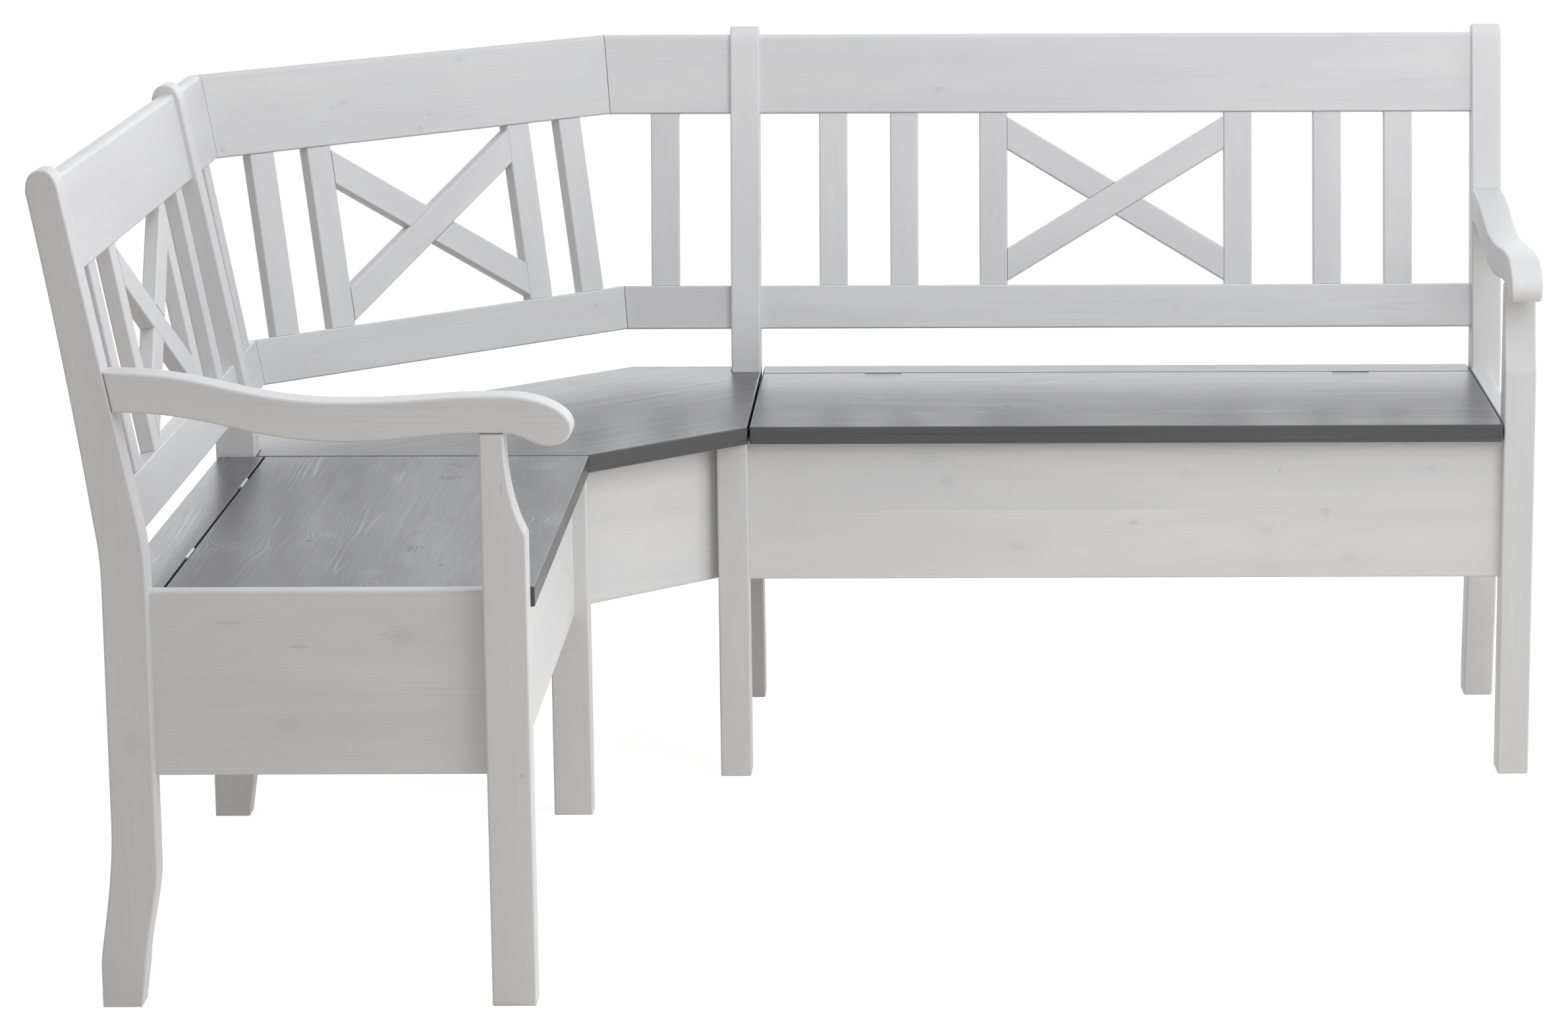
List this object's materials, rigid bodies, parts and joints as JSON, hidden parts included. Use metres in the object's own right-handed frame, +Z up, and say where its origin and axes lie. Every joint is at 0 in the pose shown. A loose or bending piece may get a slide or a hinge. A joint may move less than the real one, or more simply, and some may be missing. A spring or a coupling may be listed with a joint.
{
  "type": "corner storage bench",
  "caption": "Wooden corner bench with crossed and slatted leaning back, scrolled armrests, a fixed corner seat and hinged seat lids over storage boxes.",
  "frame": {"origin": "on the floor, in the middle of the bench's length and width", "axes": "+X along the long wing from the corner to its end, +Y to the rear, so that the short wing runs along -Y, +Z up"},
  "size_m": [1.733, 1.524, 0.929],
  "materials": {
    "white_glaze": "white glazed pine, satin",
    "grey_glaze": "grey glazed brushed pine, matt",
    "zinc": "bright zinc plate"
  },
  "bodies": {
    "frame": {"corner_seat": "grey_glaze", "diagonal_apron": "white_glaze", "diagonal_bottom_rail": "white_glaze", "diagonal_cross": "white_glaze", "diagonal_seat_rail": "white_glaze", "diagonal_slat_1": "white_glaze", "diagonal_slat_2": "white_glaze", "diagonal_top_rail": "white_glaze", "left_armrest": "white_glaze", "left_back_panel": "white_glaze", "left_bottom_rail": "white_glaze", "left_box_bottom": "white_glaze", "left_corner_bottom_rail": "white_glaze", "left_corner_front_leg": "white_glaze", "left_corner_hinge_fixed_leaf": "zinc", "left_corner_rear_leg": "white_glaze", "left_corner_seat_rail": "white_glaze", "left_corner_slat": "white_glaze", "left_corner_top_rail": "white_glaze", "left_cross": "white_glaze", "left_divider": "white_glaze", "left_end_front_leg": "white_glaze", "left_end_hinge_fixed_leaf": "zinc", "left_end_panel": "white_glaze", "left_end_rear_leg": "white_glaze", "left_front_apron": "white_glaze", "left_seat_strip": "grey_glaze", "left_slat_1": "white_glaze", "left_slat_2": "white_glaze", "left_top_rail": "white_glaze", "right_armrest": "white_glaze", "right_back_panel": "white_glaze", "right_bottom_rail": "white_glaze", "right_box_bottom": "white_glaze", "right_corner_bottom_rail": "white_glaze", "right_corner_front_leg": "white_glaze", "right_corner_hinge_fixed_leaf": "zinc", "right_corner_rear_leg": "white_glaze", "right_corner_seat_rail": "white_glaze", "right_corner_slat": "white_glaze", "right_corner_top_rail": "white_glaze", "right_cross": "white_glaze", "right_divider": "white_glaze", "right_end_front_leg": "white_glaze", "right_end_hinge_fixed_leaf": "zinc", "right_end_panel": "white_glaze", "right_end_rear_leg": "white_glaze", "right_front_apron": "white_glaze", "right_seat_strip": "grey_glaze", "right_slat_1": "white_glaze", "right_slat_2": "white_glaze", "right_slat_3": "white_glaze", "right_slat_4": "white_glaze", "right_top_rail": "white_glaze"},
    "right_lid": {"right_seat_lid": "grey_glaze", "right_corner_hinge_lid_leaf": "zinc", "right_end_hinge_lid_leaf": "zinc"},
    "left_lid": {"left_seat_lid": "grey_glaze", "left_corner_hinge_lid_leaf": "zinc", "left_end_hinge_lid_leaf": "zinc"}
  },
  "joints": [
    {"name": "right_lid_hinge", "type": "hinge", "parent": "frame", "child": "right_lid", "pos_m": [0.339, 0.63726, 0.4656], "axis": [-1, 0, 0], "range_deg": [0, 102]},
    {"name": "left_lid_hinge", "type": "hinge", "parent": "frame", "child": "left_lid", "pos_m": [-0.74176, -0.339, 0.4656], "axis": [0, -1, 0], "range_deg": [0, 102]}
  ]
}
